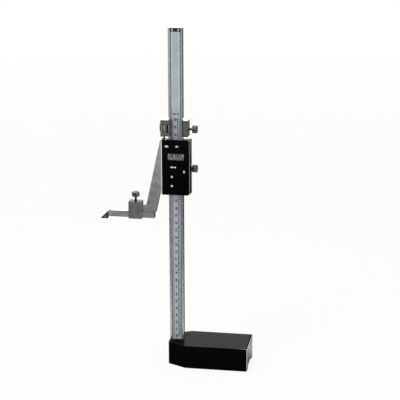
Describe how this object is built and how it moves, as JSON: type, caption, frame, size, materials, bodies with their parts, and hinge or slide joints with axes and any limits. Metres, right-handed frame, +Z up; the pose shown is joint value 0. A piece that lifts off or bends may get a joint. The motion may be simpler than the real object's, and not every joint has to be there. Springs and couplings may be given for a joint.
{
  "type": "height gauge",
  "caption": "Digital height gauge: slider with display, slanted arm and clamped carbide scriber on a graduated beam, with fine adjustment, on a heavy base.",
  "frame": {"origin": "on the underside of the base, below the middle of the beam's section", "axes": "+Z up along the beam, +X from the beam along the base, +Y from the display side to the back"},
  "size_m": [0.2017, 0.0558, 0.4562],
  "materials": {
    "base_paint": "semi-gloss black",
    "beam_steel": "ground",
    "scale_print": "matt anodised with black print",
    "black_plastic": "semi-gloss moulded",
    "key_plastic": "moulded",
    "dark_steel": "grey phosphated",
    "arm_steel": "ground",
    "screw_steel": "turned",
    "black_screw": "blackened",
    "brass": "machined",
    "carbide": "ground dark carbide",
    "lens": "clear",
    "lcd": "grey display",
    "rubber": "striped elastomer",
    "board": "lacquered",
    "switch_metal": "bright",
    "cell_metal": "bright"
  },
  "bodies": {
    "stand": {"base": "base_paint", "column": "beam_steel", "scale_strip": "scale_print", "end_stop": "black_plastic", "end_stop_screws": "screw_steel", "column_screws": "black_screw"},
    "fine_carriage": {"carriage_frame": "dark_steel"},
    "fine_nut": {"fine_adjust_nut": "screw_steel"},
    "carriage_clamp_shoe": {"carriage_clamp_shoe": "brass"},
    "carriage_clamp_screw": {"carriage_clamp_screw": "screw_steel"},
    "slider": {"slider_frame": "arm_steel", "slider_back_plate": "dark_steel", "back_plate_screws": "screw_steel", "cover_screws": "black_screw", "gib_strip": "brass", "gib_screws": "black_screw", "fine_adjust_rod": "screw_steel", "front_cover": "black_plastic", "lcd_lens": "lens", "lcd_panel": "lcd", "lcd_connector_strips": "rubber", "circuit_board": "board", "key_switches": "switch_metal", "battery_cell": "cell_metal", "battery_contact_negative": "brass", "battery_contact_positive": "brass"},
    "slider_clamp_shoe": {"slider_clamp_shoe": "brass"},
    "slider_clamp_screw": {"slider_clamp_screw": "screw_steel"},
    "battery_door": {"battery_door": "black_plastic"},
    "scriber": {"scriber_bar": "arm_steel", "carbide_tip": "carbide"},
    "scriber_clamp": {"scriber_clamp": "dark_steel"},
    "scriber_clamp_pad": {"scriber_clamp_pad": "brass"},
    "scriber_clamp_screw": {"scriber_clamp_screw": "screw_steel"},
    "button_unit": {"button_unit": "key_plastic"},
    "button_zero": {"button_zero": "key_plastic"},
    "button_power": {"button_power": "key_plastic"},
    "button_preset": {"button_preset": "key_plastic"},
    "button_up": {"button_up": "key_plastic"},
    "button_down": {"button_down": "key_plastic"}
  },
  "joints": [
    {"name": "carriage_travel", "type": "slide", "parent": "stand", "child": "fine_carriage", "axis": [0, 0, 1], "range_m": [-0.192, 0.115]},
    {"name": "fine_adjust", "type": "slide", "parent": "fine_carriage", "child": "slider", "axis": [0, 0, 1], "range_m": [-0.005, 0.002]},
    {"name": "nut_turn", "type": "hinge", "parent": "fine_carriage", "child": "fine_nut", "pos_m": [-0.0157, -0.0022, 0.32495], "axis": [0, 0, 1], "range_deg": [-1441, 3601]},
    {"name": "carriage_shoe_slide", "type": "slide", "parent": "fine_carriage", "child": "carriage_clamp_shoe", "axis": [1, 0, 0], "range_m": [0, 0.0014]},
    {"name": "carriage_screw_turn", "type": "hinge", "parent": "carriage_clamp_shoe", "child": "carriage_clamp_screw", "pos_m": [0.0247, 0, 0.3233], "axis": [1, 0, 0], "range_deg": [-1, 1009]},
    {"name": "slider_shoe_slide", "type": "slide", "parent": "slider", "child": "slider_clamp_shoe", "axis": [1, 0, 0], "range_m": [0, 0.0014]},
    {"name": "slider_screw_turn", "type": "hinge", "parent": "slider_clamp_shoe", "child": "slider_clamp_screw", "pos_m": [0.0247, 0, 0.27063], "axis": [1, 0, 0], "range_deg": [-1, 1009]},
    {"name": "battery_door_slide", "type": "slide", "parent": "slider", "child": "battery_door", "axis": [0, 0, -1], "range_m": [0, 0.012]},
    {"name": "scriber_slide", "type": "slide", "parent": "slider", "child": "scriber", "axis": [1, 0, 0], "range_m": [-0.015, 0.015]},
    {"name": "scriber_clamp_slide", "type": "slide", "parent": "slider", "child": "scriber_clamp", "axis": [1, 0, 0], "range_m": [-0.003, 0.005]},
    {"name": "scriber_pad_slide", "type": "slide", "parent": "scriber_clamp", "child": "scriber_clamp_pad", "axis": [0, 0, 1], "range_m": [0, 0.0004]},
    {"name": "scriber_screw_turn", "type": "hinge", "parent": "scriber_clamp_pad", "child": "scriber_clamp_screw", "pos_m": [-0.0551, 0, 0.2325], "axis": [0, 0, 1], "range_deg": [-1, 289]},
    {"name": "press_unit", "type": "slide", "parent": "slider", "child": "button_unit", "axis": [0, 1, 0], "range_m": [0, 0.00045], "stiffness_N_per_m": 2500, "springref_m": -0.0001},
    {"name": "press_zero", "type": "slide", "parent": "slider", "child": "button_zero", "axis": [0, 1, 0], "range_m": [0, 0.00045], "stiffness_N_per_m": 2500, "springref_m": -0.0001},
    {"name": "press_power", "type": "slide", "parent": "slider", "child": "button_power", "axis": [0, 1, 0], "range_m": [0, 0.00045], "stiffness_N_per_m": 2500, "springref_m": -0.0001},
    {"name": "press_preset", "type": "slide", "parent": "slider", "child": "button_preset", "axis": [0, 1, 0], "range_m": [0, 0.00045], "stiffness_N_per_m": 2500, "springref_m": -0.0001},
    {"name": "press_up", "type": "slide", "parent": "slider", "child": "button_up", "axis": [0, 1, 0], "range_m": [0, 0.00045], "stiffness_N_per_m": 2500, "springref_m": -0.0001},
    {"name": "press_down", "type": "slide", "parent": "slider", "child": "button_down", "axis": [0, 1, 0], "range_m": [0, 0.00045], "stiffness_N_per_m": 2500, "springref_m": -0.0001}
  ],
  "couplings": [
    {"joint": "nut_turn", "follows": "fine_adjust", "rad_per_m": -12566},
    {"joint": "carriage_screw_turn", "follows": "carriage_shoe_slide", "rad_per_m": 12566},
    {"joint": "slider_screw_turn", "follows": "slider_shoe_slide", "rad_per_m": 12566},
    {"joint": "scriber_screw_turn", "follows": "scriber_pad_slide", "rad_per_m": 12566}
  ]
}
